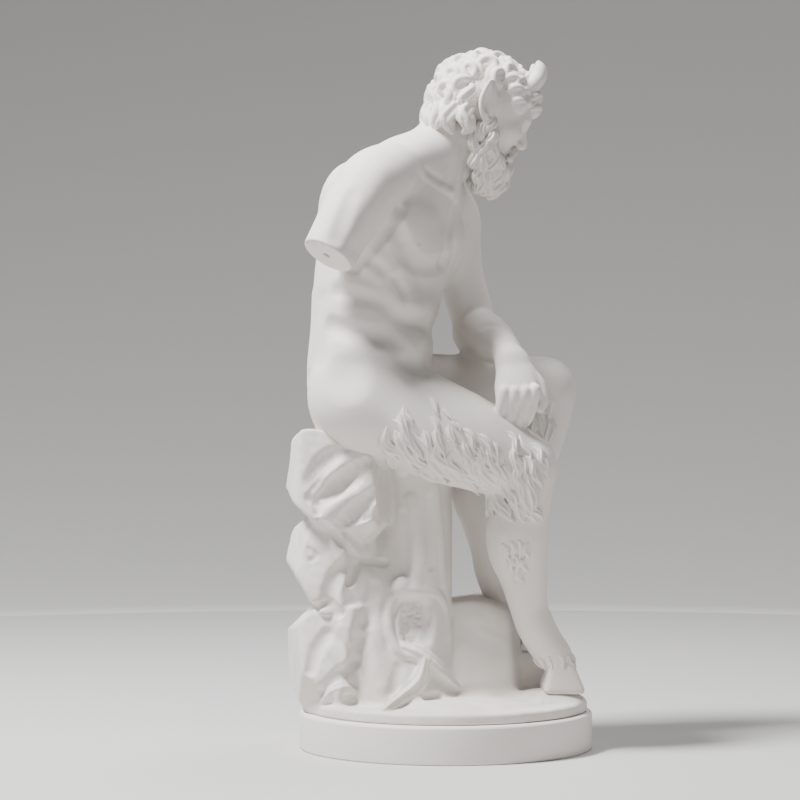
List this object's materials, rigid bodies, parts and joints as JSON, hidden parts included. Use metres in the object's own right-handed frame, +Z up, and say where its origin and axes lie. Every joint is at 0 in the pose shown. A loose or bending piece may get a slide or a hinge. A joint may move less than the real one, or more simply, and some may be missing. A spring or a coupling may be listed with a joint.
{
  "type": "faun statue",
  "caption": "Seated horned and hoofed faun on a rock and tree stump, right arm broken off flat, cast in one piece and standing on a plain round plinth.",
  "frame": {"origin": "middle of the plinth's flat underside", "axes": "+X the way the faun faces, -Y its right side, which carries the broken arm, +Z up"},
  "size_m": [0.2654, 0.252, 0.5999],
  "materials": {
    "bisque": "matte warm white cast body, unglazed, fine grain",
    "plinth_bisque": "matte warm white turned disc, unglazed, slightly smoother than the casting"
  },
  "bodies": {
    "root": {"faun_on_rock": "bisque", "plinth": "plinth_bisque"}
  },
  "joints": []
}
